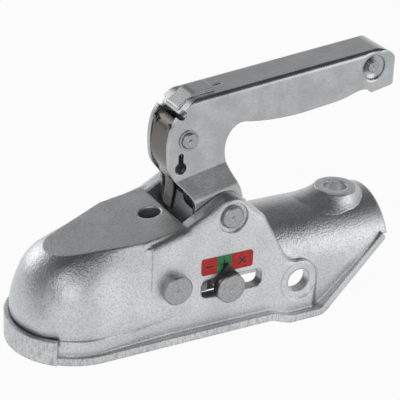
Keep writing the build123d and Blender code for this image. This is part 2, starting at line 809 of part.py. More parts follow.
with BuildPart() as indicator_pin:
    add(headed_pin(indicator_x, indicator_z, indicator_pin_d, indicator_head_height,
                   washer_out, washer_out))

with BuildPart() as indicator_pin_ring:
    add(retaining_ring(indicator_x, indicator_z, washer_out + running_clearance,
                       indicator_pin_d / 2 - ring_groove_depth))

# Washer with a pointer that shows the wear on the label
with BuildPart() as pointer_washer:
    with BuildSketch(cross_plane(indicator_x, indicator_z, -washer_in)):
        Circle(washer_d / 2)
        with Locations((-pointer_lean, pointer_tip - pointer_tip_r)):
            Circle(pointer_tip_r)
        make_hull()
        Circle(indicator_hole_r, mode=Mode.SUBTRACT)
    extrude(amount=washer_thickness)

with BuildPart() as far_washer:
    with BuildSketch(cross_plane(indicator_x, indicator_z, washer_in)):
        Circle(washer_d / 2)
        Circle(indicator_hole_r, mode=Mode.SUBTRACT)
    extrude(amount=-washer_thickness)

with BuildPart() as indicator_label:
    with BuildSketch(cross_plane((label_front_x + label_rear_x) / 2, (label_low_z + label_high_z) / 2,
                                 -flank_half)):
        RectangleRounded(label_rear_x - label_front_x, label_high_z - label_low_z, label_round)
        with Locations((label_notch_x - (label_front_x + label_rear_x) / 2,
                        (label_low_z - label_high_z) / 2)):
            Circle(label_notch_r, mode=Mode.SUBTRACT)
    extrude(amount=label_thickness)

sub_parts = {
    "housing": housing,
    "indicator_label": indicator_label,
    "guide_pin": guide_pin,
    "guide_bush": guide_bush,
    "guide_pin_ring": guide_pin_ring,
    "pivot_pin": pivot_pin,
    "lever": lever,
    "pivot_sleeve": pivot_sleeve,
    "lever_spring": lever_spring,
    "grip_rivet": grip_rivet,
    "grip_spacer": grip_spacer,
    "catch_pin": catch_pin,
    "catch_washer_near": catch_washer_near,
    "catch_washer_far": catch_washer_far,
    "safety_catch": safety_catch,
    "catch_spring": catch_spring,
    "clamping_jaw": clamping_jaw,
    "indicator_pin": indicator_pin,
    "pointer_washer": pointer_washer,
    "far_washer": far_washer,
    "indicator_pin_ring": indicator_pin_ring,
}
os.makedirs("parts", exist_ok=True)
for name, sub_part in sub_parts.items():
    sub_part.part.label = name
    export_step(sub_part.part, f"parts/{name}.step")
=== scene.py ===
"""Looks of a ball coupling for a light trailer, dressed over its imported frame."""

import logging
import math
from dataclasses import dataclass
from enum import Enum

import bpy
import numpy as np
from mathutils import Matrix, Vector


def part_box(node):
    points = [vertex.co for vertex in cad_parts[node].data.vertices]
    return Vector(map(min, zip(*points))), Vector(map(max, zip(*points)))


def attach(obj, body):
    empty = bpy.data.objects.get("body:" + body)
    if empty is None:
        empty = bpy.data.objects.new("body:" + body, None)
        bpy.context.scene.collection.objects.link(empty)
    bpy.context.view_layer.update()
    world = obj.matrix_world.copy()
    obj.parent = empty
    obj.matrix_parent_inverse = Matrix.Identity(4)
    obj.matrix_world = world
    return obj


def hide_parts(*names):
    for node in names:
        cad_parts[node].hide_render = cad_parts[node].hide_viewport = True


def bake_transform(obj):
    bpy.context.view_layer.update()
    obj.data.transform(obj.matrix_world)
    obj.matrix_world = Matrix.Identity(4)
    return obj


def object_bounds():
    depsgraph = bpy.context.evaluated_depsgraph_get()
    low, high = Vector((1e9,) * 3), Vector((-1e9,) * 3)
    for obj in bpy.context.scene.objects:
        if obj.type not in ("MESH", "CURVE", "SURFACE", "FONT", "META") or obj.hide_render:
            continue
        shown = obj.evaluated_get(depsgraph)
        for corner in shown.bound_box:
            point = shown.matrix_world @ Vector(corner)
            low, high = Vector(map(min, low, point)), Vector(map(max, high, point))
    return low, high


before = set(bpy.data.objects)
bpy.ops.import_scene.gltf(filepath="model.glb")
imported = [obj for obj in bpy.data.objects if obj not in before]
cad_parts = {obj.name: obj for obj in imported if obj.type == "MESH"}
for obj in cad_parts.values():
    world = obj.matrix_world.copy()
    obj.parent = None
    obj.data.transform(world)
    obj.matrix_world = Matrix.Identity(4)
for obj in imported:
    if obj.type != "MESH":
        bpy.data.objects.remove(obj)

CAD_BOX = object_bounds()
LOG = logging.getLogger("ball_coupling")
MM = 0.001


class Axis(Enum):
    """The axis that a turned piece was spun about."""

    X = 0
    Y = 1
    Z = 2


class Term:
    """A shader socket that can be used in arithmetic; each operation adds a Math node."""

    def __init__(self, web: "Web", socket: bpy.types.NodeSocket) -> None:
        """Keeps the material's web and the socket."""
        self.web = web
        self.socket = socket

    def _math(self, operation: str, first: object, second: object = None) -> "Term":
        """Adds one Math node.

        Args:
            operation: the Math node's operation.
            first: a Term or a number.
            second: a Term or a number, where the operation has one.

        Returns:
            The node's result.
        """
        inputs = {0: first} if second is None else {0: first, 1: second}
        return self.web.node("ShaderNodeMath", {"operation": operation}, inputs)

    def __add__(self, other: object) -> "Term":
        """Sum."""
        return self._math("ADD", self, other)

    __radd__ = __add__

    def __mul__(self, other: object) -> "Term":
        """Product."""
        return self._math("MULTIPLY", self, other)

    __rmul__ = __mul__

    def __sub__(self, other: object) -> "Term":
        """Difference."""
        return self._math("SUBTRACT", self, other)

    def __rsub__(self, other: object) -> "Term":
        """Difference, with this term taken away."""
        return self._math("SUBTRACT", other, self)

    def __gt__(self, other: object) -> "Term":
        """1 where this term is larger."""
        return self._math("GREATER_THAN", self, other)

    def __lt__(self, other: object) -> "Term":
        """1 where this term is smaller."""
        return self._math("LESS_THAN", self, other)

    def __abs__(self) -> "Term":
        """Absolute value."""
        return self._math("ABSOLUTE", self)

    def sine(self) -> "Term":
        """Sine."""
        return self._math("SINE", self)

    def root(self) -> "Term":
        """Square root."""
        return self._math("SQRT", self)

    def highest(self, other: object) -> "Term":
        """The larger of two."""
        return self._math("MAXIMUM", self, other)

    def other(self, name: object) -> "Term":
        """Another output of the same node."""
        return Term(self.web, self.socket.node.outputs[name])

    def ramp(self, low: float, high: float) -> "Term":
        """Smooth step from 0 at low to 1 at high."""
        return self.web.node("ShaderNodeMapRange", {"interpolation_type": "SMOOTHSTEP"},
                             {"Value": self, "From Min": low, "From Max": high})


class Web:
    """The nodes of one material, or of the world."""

    def __init__(self, name: str, world: bool = False) -> None:
        """Makes an empty material or world.

        Args:
            name: its name.
            world: whether a world is made.
        """
        self.owner = (bpy.data.worlds if world else bpy.data.materials).new(name)
        self.owner.use_nodes = True
        self.tree = self.owner.node_tree
        self.tree.nodes.clear()

    def node(self, kind: str, settings: dict | None = None, inputs: dict | None = None,
             output: object = 0) -> Term:
        """Adds a node.

        Args:
            kind: the node's type.
            settings: its properties, set first; a ramp's stops are given as "stops".
            inputs: values or Terms by socket name or number.
            output: name or number of the socket that is returned.

        Returns:
            The output socket as a Term.
        """
        made = self.tree.nodes.new(kind)
        for key, value in (settings or {}).items():
            if key == "stops":
                self._stops(made.color_ramp, value)
            else:
                setattr(made, key, value)
        for key, value in (inputs or {}).items():
            if isinstance(value, Term):
                self.tree.links.new(value.socket, made.inputs[key])
            else:
                made.inputs[key].default_value = value
        return Term(self, made.outputs[output]) if made.outputs else Term(self, made.inputs[0])

    @staticmethod
    def _stops(ramp: bpy.types.ColorRamp, stops: list) -> None:
        """Sets a ramp's stops, given as (place, colour)."""
        while len(ramp.elements) < len(stops):
            ramp.elements.new(0.5)
        for element, (place, colour) in zip(ramp.elements, stops):
            element.position = place
            element.color = colour

    def point(self) -> Term:
        """The Object coordinate as a vector."""
        return self.node("ShaderNodeTexCoord", None, None, "Object")

    def coordinates(self) -> tuple[Term, Term, Term]:
        """The three Object coordinates, in metres."""
        made = self.node("ShaderNodeSeparateXYZ", None, {0: self.point()})
        return tuple(made.other(index) for index in range(3))

    def noise(self, grain_mm: float, detail: float = 2.0, rough: float = 0.5,
              stretch: tuple = (1.0, 1.0, 1.0)) -> Term:
        """Noise with a grain of a given size.

        Args:
            grain_mm: about the size of a lump.
            detail: the number of finer layers.
            rough: how strong the finer layers are.
            stretch: scale along each axis.

        Returns:
            The value, round 0.5.
        """
        place = self.node("ShaderNodeMapping", None, {"Vector": self.point(), "Scale": stretch})
        return self.node("ShaderNodeTexNoise", None,
                         {"Vector": place, "Scale": 1 / (grain_mm * MM), "Detail": detail,
                          "Roughness": rough})

    def edge(self, radius_mm: float) -> Term:
        """How far a rounded normal turns from the true one: 0 on flats, towards 1 at edges."""
        true = self.node("ShaderNodeNewGeometry", None, None, "Normal")
        return 1 - self.node("ShaderNodeVectorMath", {"operation": "DOT_PRODUCT"},
                             {0: self.rounded(radius_mm), 1: true}, "Value")

    def mix(self, factor: Term, first: object, second: object) -> Term:
        """Mixes two colours.

        Args:
            factor: 0 gives the first colour, 1 the second.
            first: a colour or a Term.
            second: a colour or a Term.

        Returns:
            The mixed colour.
        """
        return self.node("ShaderNodeMix", {"data_type": "RGBA"}, {0: factor, 6: first, 7: second}, 2)

    def rounded(self, radius_mm: float) -> Term:
        """A normal that turns smoothly over edges, as if they had this radius."""
        return self.node("ShaderNodeBevel", {"samples": 6}, {"Radius": radius_mm * MM})

    def bump(self, height: Term, strength: float, depth_mm: float, under: Term) -> Term:
        """A bumped normal.

        Args:
            height: the surface's height, 0 to 1.
            strength: share of the bump that is used.
            depth_mm: height of a step from 0 to 1.
            under: the normal that the bump is laid on.

        Returns:
            The normal.
        """
        return self.node("ShaderNodeBump", None,
                         {"Strength": strength, "Distance": depth_mm * MM, "Height": height, "Normal": under})

    def reach(self, centre_mm: tuple, axis: Axis) -> Term:
        """Distance from an axis through a centre, in metres.

        Args:
            centre_mm: a point on the axis, in millimetres.
            axis: the axis's direction.

        Returns:
            The root of the sum of the two squared offsets across the axis.
        """
        offsets = [part - place * MM for part, place in zip(self.coordinates(), centre_mm)]
        across = [offset for index, offset in enumerate(offsets) if index != axis.value]
        return (across[0] * across[0] + across[1] * across[1]).root()

    def surface(self, **inputs: object) -> bpy.types.Material:
        """Ends the material in a Principled shader.

        Args:
            inputs: socket values or Terms, with _ in place of spaces.

        Returns:
            The material.
        """
        shader = self.node("ShaderNodeBsdfPrincipled", None,
                           {key.replace("_", " "): value for key, value in inputs.items()})
        self.node("ShaderNodeOutputMaterial", None, {"Surface": shader})
        return self.owner


def grey(value: float, warmth: float = 0.0) -> tuple[float, float, float, float]:
    """A grey, warmer or cooler by a small share."""
    return (value * (1 + warmth), value, value * (1 - warmth), 1.0)


@dataclass(frozen=True)
class ForgedZinc:
    """Zinc plate over a forged skin: fine lumps, painted shade in the hollows, painted highlights on the edges
    and a sheared lower rim.
    """

    name: str = "forged_zinc"
    tone: float = 0.67
    lump_mm: float = 1.1
    lump_depth_mm: float = 0.42
    roughness: float = 0.32
    tail_rim_mm: float = -17.2
    rim_half_mm: float = 36.7
    lip_r_mm: float = 38.2
    rounding_mm: float = 2.0

    def make(self) -> bpy.types.Material:
        """Builds the material: lumps with painted shade in their hollows, cloudy tone, painted highlights on
        the edges, streaked shear face.
        """
        web = Web(self.name)
        lumps = web.noise(self.lump_mm, 1.5, 0.5)
        pits = web.noise(self.lump_mm * 0.4, 1.0, 0.5)
        cloud = web.noise(24.0, 3.0, 0.55)
        # edge mask for the painted highlight along the rounded edges
        edge_highlight = web.edge(1.1).ramp(0.02, 0.22)
        sheared = self._sheared(web)
        streaks = web.noise(1.0, 3.0, 0.65, (1.0, 1.0, 0.22))
        grain = lumps * 0.65 + pits * 0.35
        tone = web.mix(cloud.ramp(0.35, 0.68), grey(self.tone * 0.90, -0.022), grey(self.tone * 1.05, -0.012))
        # painted shade: the colour darkens where the lumps are low, as shade in their hollows
        tone = web.mix((1 - grain.ramp(0.36, 0.58)) * 0.42, tone, grey(self.tone * 0.45, -0.035))
        # painted highlight: lighter colour along the rounded edges
        tone = web.mix(edge_highlight * 0.5, tone, grey(min(1.0, self.tone * 1.3)))
        tone = web.mix(sheared * streaks.ramp(0.46, 0.66) * 0.5, tone, grey(0.2, -0.02))
        dull = self.roughness + (cloud - 0.5) * 0.16 + (pits - 0.5) * 0.2 - edge_highlight * 0.05
        height = grain + sheared * (streaks - 0.5) * 0.9
        return web.surface(Base_Color=tone, Metallic=0.92, Roughness=dull,
                           Normal=web.bump(height, 0.75, self.lump_depth_mm, web.rounded(self.rounding_mm)))

    def _sheared(self, web: Web) -> Term:
        """1 on the outer edge of the rim and of the front lip, where the flash was cut off."""
        x, y, z = web.coordinates()
        rim = (abs(y) > self.rim_half_mm * MM).highest(z < self.tail_rim_mm * MM)
        lip = ((x * x + y * y).root() > self.lip_r_mm * MM) * (x < 0.0)
        return rim.highest(lip)


@dataclass(frozen=True)
class PressedZinc:
    """Zinc plate on rolled sheet: smooth, with faint rolling marks and painted highlights on the bends."""

    name: str
    tone: float = 0.46
    warmth: float = -0.016
    roughness: float = 0.27
    rounding_mm: float = 1.0
    dish_mm: tuple = (0.0, 0.0, -200.0)
    dish_inner_mm: float = 3.4
    dish_outer_mm: float = 10.0
    dish_depth_mm: float = 2.2

    def make(self) -> bpy.types.Material:
        """Builds the material: slow waviness, fine grain along the sheet, painted highlights on the edges and a
        pressed dish.
        """
        web = Web(self.name)
        wave = web.noise(13.0, 2.0, 0.5)
        grain = web.noise(0.8, 2.0, 0.6, (0.35, 1.0, 1.0))
        edge_highlight = web.edge(0.9).ramp(0.03, 0.25)
        dish = web.reach(self.dish_mm, Axis.Y).ramp(self.dish_inner_mm * MM, self.dish_outer_mm * MM)
        tone = web.mix(wave.ramp(0.34, 0.68), grey(self.tone * 0.90, self.warmth),
                       grey(self.tone * 1.08, self.warmth))
        tone = web.mix((1 - grain.ramp(0.36, 0.58)) * 0.22, tone, grey(self.tone * 0.6, self.warmth))
        # painted highlight: colour lightened along the bends and edges
        tone = web.mix(edge_highlight * 0.65, tone, grey(min(1.0, self.tone * 1.7)))
        dull = self.roughness + (wave - 0.5) * 0.14 + (grain - 0.5) * 0.12
        pressed = web.bump(dish, 1.0, self.dish_depth_mm, web.rounded(self.rounding_mm))
        return web.surface(Base_Color=tone, Metallic=0.94, Roughness=dull,
                           Normal=web.bump(wave * 0.6 + grain * 0.4, 0.35, 0.14, pressed))


@dataclass(frozen=True)
class TurnedMetal:
    """Metal turned on a lathe: fine rings round the piece's own axis and a punched centre."""

    name: str
    centre_mm: tuple = (0.0, 0.0, 0.0)
    axis: Axis = Axis.Y
    tone: float = 0.38
    roughness: float = 0.33
    ring_mm: float = 0.8
    punch_mm: float = 1.7

    def make(self) -> bpy.types.Material:
        """Builds the material: a sine of the distance from the axis, a speckle and a hollow at the centre."""
        web = Web(self.name)
        distance = web.reach(self.centre_mm, self.axis)
        rings = (distance * (2 * math.pi / (self.ring_mm * MM))).sine() * 0.5 + 0.5
        speckle = web.noise(0.9, 2.0, 0.6)
        punch = distance.ramp(0.3 * MM, self.punch_mm * MM)
        edge_highlight = web.edge(0.6).ramp(0.03, 0.25)
        tone = web.mix(speckle.ramp(0.34, 0.64), grey(self.tone * 0.78, -0.02), grey(self.tone * 1.1, -0.012))
        # painted highlight: colour lightened along the edges
        tone = web.mix(edge_highlight * 0.6, tone, grey(min(1.0, self.tone * 1.6)))
        dull = self.roughness + (speckle - 0.5) * 0.16 + rings * 0.05
        hollow = web.bump(punch, 1.0, 0.6, web.rounded(0.5))
        return web.surface(Base_Color=tone, Metallic=0.94, Roughness=dull,
                           Normal=web.bump(rings * 0.35 + speckle * 0.65, 0.35, 0.06, hollow))


@dataclass(frozen=True)
class DarkIron:
    """Cast iron with a thin oil film: dark, grainy, slightly brown."""

    name: str = "jaw_iron"
    tone: float = 0.10

    def make(self) -> bpy.types.Material:
        """Builds the material: sand grain and slow stains."""
        web = Web(self.name)
        sand = web.noise(1.4, 3.0, 0.6)
        stain = web.noise(16.0, 3.0, 0.55)
        tone = web.mix(stain.ramp(0.35, 0.68), grey(self.tone * 0.7, 0.06), grey(self.tone * 1.35, 0.03))
        return web.surface(Base_Color=tone, Metallic=0.75, Roughness=0.42 + (sand - 0.5) * 0.25,
                           Normal=web.bump(sand, 0.5, 0.22, web.rounded(0.5)))


@dataclass(frozen=True)
class BlackPlate:
    """Blackened plate of the pointer washer, with painted highlights on its edges."""

    name: str = "pointer_black"

    def make(self) -> bpy.types.Material:
        """Builds the material: fine speckle and edges lightened as a painted highlight."""
        web = Web(self.name)
        speckle = web.noise(0.8, 2.0, 0.6)
        edge_glint = web.edge(0.5).ramp(0.05, 0.3)
        tone = web.mix(speckle.ramp(0.3, 0.7), grey(0.012), grey(0.03))
        # painted highlight: the edges lightened towards grey
        tone = web.mix(edge_glint * 0.35, tone, grey(0.16))
        return web.surface(Base_Color=tone, Metallic=0.2, Roughness=0.42 + (speckle - 0.5) * 0.2,
                           Normal=web.bump(speckle, 0.3, 0.05, web.rounded(0.3)))


@dataclass(frozen=True)
class PrintedLabel:
    """Printed film: a green field between two red ones, with a dark sign on each."""

    name: str = "label_film"
    field_edges_mm: tuple = (72.4, 81.4)
    sign_x_mm: tuple = (67.3, 76.9, 88.4)
    sign_z_mm: float = 25.3
    sign_reach_mm: float = 2.7
    stroke_mm: float = 0.5

    def make(self) -> bpy.types.Material:
        """Builds the material: field masks by length, signs as crossing bars."""
        web = Web(self.name)
        x, _, z = web.coordinates()
        green = (x > self.field_edges_mm[0] * MM) * (x < self.field_edges_mm[1] * MM)
        fade = web.noise(3.0, 3.0, 0.6)
        red_ink = web.mix(fade.ramp(0.3, 0.72), (0.50, 0.012, 0.012, 1), (0.66, 0.028, 0.024, 1))
        green_ink = web.mix(fade.ramp(0.3, 0.72), (0.012, 0.17, 0.05, 1), (0.03, 0.27, 0.09, 1))
        ink = web.mix(green, red_ink, green_ink)
        signs = self._minus(x, z).highest(self._plus(x, z)).highest(self._cross(x, z))
        ink = web.mix(signs, ink, (0.012, 0.010, 0.012, 1))
        return web.surface(Base_Color=ink, Roughness=0.5 + (fade - 0.5) * 0.2,
                           Normal=web.bump(fade, 0.2, 0.05, web.rounded(0.15)))

    def _bar(self, along: Term, across: Term) -> Term:
        """1 inside a bar that reaches sign_reach_mm each way and is stroke_mm thick each side."""
        return (abs(along) < self.sign_reach_mm * MM) * (abs(across) < self.stroke_mm * MM)

    def _minus(self, x: Term, z: Term) -> Term:
        """The bar on the first field."""
        return self._bar(x - self.sign_x_mm[0] * MM, z - self.sign_z_mm * MM)

    def _plus(self, x: Term, z: Term) -> Term:
        """The upright cross on the middle field."""
        dx, dz = x - self.sign_x_mm[1] * MM, z - self.sign_z_mm * MM
        return self._bar(dx, dz).highest(self._bar(dz, dx))

    def _cross(self, x: Term, z: Term) -> Term:
        """The cross turned by an eighth on the last field."""
        dx, dz = x - self.sign_x_mm[2] * MM, z - self.sign_z_mm * MM
        turned, back = (dx + dz) * math.sqrt(0.5), (dx - dz) * math.sqrt(0.5)
        return self._bar(turned, back).highest(self._bar(back, turned))


class Surfaces:
    """Meshes worked out as whole arrays."""

    @staticmethod
    def grid(name: str, points: np.ndarray, wrap_u: bool, wrap_v: bool,
             capped: bool = False) -> bpy.types.Object:
        """Makes a mesh from a grid of points.

        The face at row i and column j joins points (i, j), (i, j+1), (i+1, j+1) and (i+1, j).

        Args:
            name: the piece's name.
            points: array of shape (rows, columns, 3), in metres.
            wrap_u: whether the last row joins the first.
            wrap_v: whether the last column joins the first.
            capped: whether the first and last rows are closed by a face.

        Returns:
            The object, at the origin.
        """
        rows, columns = points.shape[:2]
        index = np.arange(rows * columns).reshape(rows, columns)
        i = np.arange(rows if wrap_u else rows - 1)
        j = np.arange(columns if wrap_v else columns - 1)
        i, j = np.meshgrid(i, j, indexing="ij")
        down, right = (i + 1) % rows, (j + 1) % columns
        faces = np.stack([index[i, j], index[i, right], index[down, right], index[down, j]], -1).reshape(-1, 4)
        a, b, c, d = (points.reshape(-1, 3)[faces[:, corner]] for corner in range(4))
        inside = np.sum(a * (np.cross(b, c) + np.cross(c, d)))
        turned = (wrap_u or capped) and inside < 0
        faces = (faces[:, ::-1] if turned else faces).tolist()
        if capped:
            ends = [index[0, ::-1].tolist(), index[-1].tolist()]
            faces += [end[::-1] for end in ends] if turned else ends
        mesh = bpy.data.meshes.new(name)
        mesh.from_pydata(points.reshape(-1, 3).tolist(), [], faces)
        mesh.shade_smooth()
        mesh.validate()
        made = bpy.data.objects.new(name, mesh)
        bpy.context.scene.collection.objects.link(made)
        return made


    @staticmethod
    def wire(name: str, path: np.ndarray, radius: float, sides: int = 20) -> bpy.types.Object:
        """A round wire along a path that never runs along Y.

        Each row is a circle square to the path: cosine times the direction across the path and Y, plus
        sine times the direction square to both. The end rows are drawn in by a third for a small chamfer.

        Args:
            name: the piece's name.
            path: array of shape (n, 3), in metres.
            radius: the wire's radius, in metres.
            sides: points round the circle.

        Returns:
            The object.
        """
        tangent = np.gradient(path, axis=0)
        tangent /= np.linalg.norm(tangent, axis=1, keepdims=True)
        first = np.cross(np.array([0.0, 1.0, 0.0]), tangent)
        first /= np.linalg.norm(first, axis=1, keepdims=True)
        second = np.cross(tangent, first)
        width = np.full(len(path), radius)
        width[[0, -1]] *= 2 / 3
        turn = np.linspace(0.0, 2 * math.pi, sides, endpoint=False)[None, :, None]
        circle = np.cos(turn) * first[:, None] + np.sin(turn) * second[:, None]
        points = path[:, None] + width[:, None, None] * circle
        return Surfaces.grid(name, points, False, True, capped=True)


def dress(piece: bpy.types.Object, material: bpy.types.Material) -> None:
    """Gives a piece one material on all its faces."""
    piece.data.materials.clear()
    piece.data.materials.append(material)


@dataclass
class Head:
    """The forged housing with its pins, bush, ring and label."""

    pivot_mm: tuple = (82.0, 0.0, 52.5)
    guide_mm: tuple = (46.0, 0.0, 17.0)

    def dress(self) -> list[str]:
        """Dresses the nodes of the head.

        Returns:
            The names of the dressed nodes.
        """
        finishes = {
            "housing": ForgedZinc(),
            "indicator_label": PrintedLabel(),
            "guide_pin": TurnedMetal("guide_pin_zinc", self.guide_mm),
            "guide_bush": TurnedMetal("bush_steel", self.guide_mm, tone=0.42, roughness=0.3),
            "guide_pin_ring": TurnedMetal("guide_ring_steel", self.guide_mm, tone=0.3, roughness=0.3),
            "pivot_pin": TurnedMetal("pivot_pin_zinc", self.pivot_mm),
        }
        for node, finish in finishes.items():
            dress(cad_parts[node], finish.make())
        return list(finishes)


@dataclass
class BossFlare:
    """The forged swell that runs from the drawbar sleeve up to the top bolt boss."""

    centre_x_mm: float = 170.0
    boss_r_mm: float = 12.5
    boss_top_mm: float = 41.3
    sleeve_r_mm: float = 31.0
    sleeve_z_mm: float = 7.5
    side_width_mm: float = 6.0
    front_width_mm: float = 20.0
    rear_cut_mm: float = 1.0
    top_drop_mm: float = 0.3
    edge_sink_mm: float = 0.1
    bury_mm: float = 0.8
    fall_power: float = 2.4
    columns: int = 96
    rows: int = 28

    def dress(self) -> list[str]:
        """Builds and dresses the swell.

        Returns:
            The piece's name.
        """
        piece = Surfaces.grid("boss_flare", self._points() * MM, True, True)
        dress(piece, ForgedZinc("boss_zinc").make())
        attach(piece, "head")
        return [piece.name]

    def _sleeve(self, y: np.ndarray) -> np.ndarray:
        """Height of the sleeve's crown at a distance from its middle: a circle's upper half."""
        return self.sleeve_z_mm + np.sqrt(self.sleeve_r_mm ** 2 - y ** 2)

    def _points(self) -> np.ndarray:
        """Points of the closed ring.

        Round the boss by angle, and outwards by share s: the radius grows from the boss by a width that is
        larger towards the front, and the height over the sleeve falls from the boss's top with a power of
        (1 - s). The last two rows run back under the sleeve's skin.

        Returns:
            An array of shape (rows, columns, 3), in millimetres.
        """
        angle = np.linspace(0.0, 2 * math.pi, self.columns, endpoint=False)[None, :]
        share = np.linspace(0.0, 1.0, self.rows)[:, None]
        front = np.clip(-np.cos(angle), 0.0, 1.0) ** 1.5
        rear = np.clip(np.cos(angle), 0.0, 1.0)
        width = (self.side_width_mm + (self.front_width_mm - self.side_width_mm) * front
                 - self.rear_cut_mm * rear)
        radius = self.boss_r_mm + width * share
        fall = (1 - share) ** self.fall_power
        side = np.sin(angle)
        crest = self.boss_top_mm - self.top_drop_mm
        rise = crest - self._sleeve(self.boss_r_mm * side)
        height = self._sleeve(radius * side) + rise * fall - self.edge_sink_mm * share
        inner = np.broadcast_to(self.boss_r_mm - self.bury_mm, angle.shape)
        radius = np.concatenate([inner, radius, radius[-1:], inner])
        top = np.broadcast_to(crest, angle.shape)
        height = np.concatenate([top, height, height[-1:] - self.bury_mm,
                                 self._sleeve(inner * side) - self.bury_mm])
        return np.stack([self.centre_x_mm + radius * np.cos(angle), radius * side, height], -1)


@dataclass
class ShoulderBlend:
    """The soft forged run-out between the nose and the flat flanks."""

    front_mm: float = 8.0
    rear_mm: float = 60.0
    low_mm: float = -3.0
    high_mm: float = 58.0
    step_mm: float = 0.7
    soften_mm: float = 1.6
    passes: int = 26
    flank_half_mm: float = 33.0
    wall_from_mm: float = 18.0
    pin_mm: tuple = (46.0, 17.0)
    pin_cover_mm: float = 9.6
    sink_mm: float = 0.1
    rise_over_mm: float = 0.3
    least_fill_mm: float = 0.02
    fade_x_mm: float = 6.0
    fade_z_mm: float = 4.0
    depth_mm: float = 0.8

    def dress(self) -> list[str]:
        """Builds and dresses the run-out of each side.

        Returns:
            The names of the two pieces.
        """
        material = ForgedZinc("shoulder_zinc").make()
        names = []
        for name, side in (("shoulder_blend_near", -1.0), ("shoulder_blend_far", 1.0)):
            piece = self._patch(name, side)
            dress(piece, material)
            shell = piece.modifiers.new("wall", "SOLIDIFY")
            shell.thickness = self.depth_mm * MM
            shell.offset = -1.0
            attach(piece, "head")
            names.append(piece.name)
        return names

    def _wall(self, side: float) -> np.ndarray:
        """Triangles of the housing's outer wall on one side, as (n, 3, 3) in millimetres, side turned to +."""
        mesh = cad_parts["housing"].data
        corners = np.empty(len(mesh.loops), np.int32)
        mesh.loops.foreach_get("vertex_index", corners)
        places = np.empty(len(mesh.vertices) * 3, np.float32)
        mesh.vertices.foreach_get("co", places)
        wall = places.reshape(-1, 3)[corners.reshape(-1, 3)].astype(float) / MM
        wall[..., 1] *= side
        return wall[wall[..., 1].min(1) > self.wall_from_mm]

    @staticmethod
    def _row(wall: np.ndarray, x: np.ndarray, z: float) -> np.ndarray:
        """Reach of the wall along one level line.

        A point lies in a triangle where its three areas have one sign; its reach is the mean of the
        corners' reaches weighted by those areas. The largest is kept, and 0 where there is none.

        Args:
            wall: triangles as (n, 3, 3).
            x: places along the line.
            z: the line's level.

        Returns:
            The reach at each place.
        """
        near = wall[(wall[..., 2].min(1) <= z) & (wall[..., 2].max(1) >= z)]
        a, b, c = (near[:, corner, :, None] for corner in range(3))

        def area(first: np.ndarray, last: np.ndarray) -> np.ndarray:
            """Twice the signed area over an edge, seen along the side."""
            return ((last[:, 0] - first[:, 0]) * (z - first[:, 2])
                    - (last[:, 2] - first[:, 2]) * (x - first[:, 0]))

        shares = np.stack([area(b, c), area(c, a), area(a, b)])
        whole = shares.sum(0)
        hit = np.all(shares * whole >= 0, 0) & (np.abs(whole) > 1e-9)
        reach = (shares * np.stack([a[:, 1], b[:, 1], c[:, 1]])).sum(0) / np.where(hit, whole, 1.0)
        return np.where(hit, reach, 0.0).max(0, initial=0.0)

    def _patch(self, name: str, side: float) -> bpy.types.Object:
        """Makes the run-out of one side.

        The wall's reach over a grid of x and z is softened again and again, and each time the larger of
        the softened and the former reach is kept, so hollows fill and nothing else moves. Faces stay
        where something was filled.

        Args:
            name: the piece's name.
            side: -1 for the near side, 1 for the far side.

        Returns:
            The object.
        """
        x = np.arange(self.front_mm, self.rear_mm, self.step_mm)
        z = np.arange(self.low_mm, self.high_mm, self.step_mm)
        wall = self._wall(side)
        reach = np.stack([self._row(wall, x, level) for level in z])
        over_pin = (x[None] - self.pin_mm[0]) ** 2 + (z[:, None] - self.pin_mm[1]) ** 2 < self.pin_cover_mm ** 2
        reach = np.where(over_pin, self.flank_half_mm, reach)
        solid = reach > self.wall_from_mm
        ends = np.clip((x - x[0]) / self.fade_x_mm, 0, 1) * np.clip((x[-1] - x) / self.fade_x_mm, 0, 1)
        keep = np.minimum(ends[None], np.clip((z - z[0]) / self.fade_z_mm, 0, 1)[:, None])
        along, up = self._softener(x), self._softener(z)
        filled = reach
        for _ in range(self.passes):
            filled = np.where(solid, reach + keep * np.maximum(up @ filled @ along.T - reach, 0.0), reach)
            filled = np.maximum(filled, reach)
        added = filled - reach
        places = np.stack([np.broadcast_to(x, added.shape),
                           side * (filled - self.sink_mm * (1 - np.clip(added / self.rise_over_mm, 0, 1))),
                           np.broadcast_to(z[:, None], added.shape)], -1)
        most = np.maximum.reduce([added[:-1, :-1], added[1:, :-1], added[:-1, 1:], added[1:, 1:]])
        shown = most > self.least_fill_mm
        whole = solid[:-1, :-1] & solid[1:, :-1] & solid[:-1, 1:] & solid[1:, 1:]
        return self._cells(name, places * MM, shown & whole, side)

    def _softener(self, line: np.ndarray) -> np.ndarray:
        """Weights of a bell curve round each place of a line, with rows that add up to 1."""
        weights = np.exp(-0.5 * ((line[:, None] - line[None]) / self.soften_mm) ** 2)
        return weights / weights.sum(1, keepdims=True)

    @staticmethod
    def _cells(name: str, places: np.ndarray, chosen: np.ndarray, side: float) -> bpy.types.Object:
        """Makes a mesh of the chosen cells of a grid.

        Args:
            name: the piece's name.
            places: points as (rows, columns, 3), in metres.
            chosen: which cells become faces.
            side: which way the faces look.

        Returns:
            The object.
        """
        index = np.arange(places.shape[0] * places.shape[1]).reshape(places.shape[:2])
        quads = np.stack([index[:-1, :-1], index[:-1, 1:], index[1:, 1:], index[1:, :-1]], -1)[chosen]
        used, faces = np.unique(quads if side < 0 else quads[:, ::-1], return_inverse=True)
        mesh = bpy.data.meshes.new(name)
        mesh.from_pydata(places.reshape(-1, 3)[used].tolist(), [], faces.reshape(-1, 4).tolist())
        mesh.shade_smooth()
        made = bpy.data.objects.new(name, mesh)
        bpy.context.scene.collection.objects.link(made)
        return made


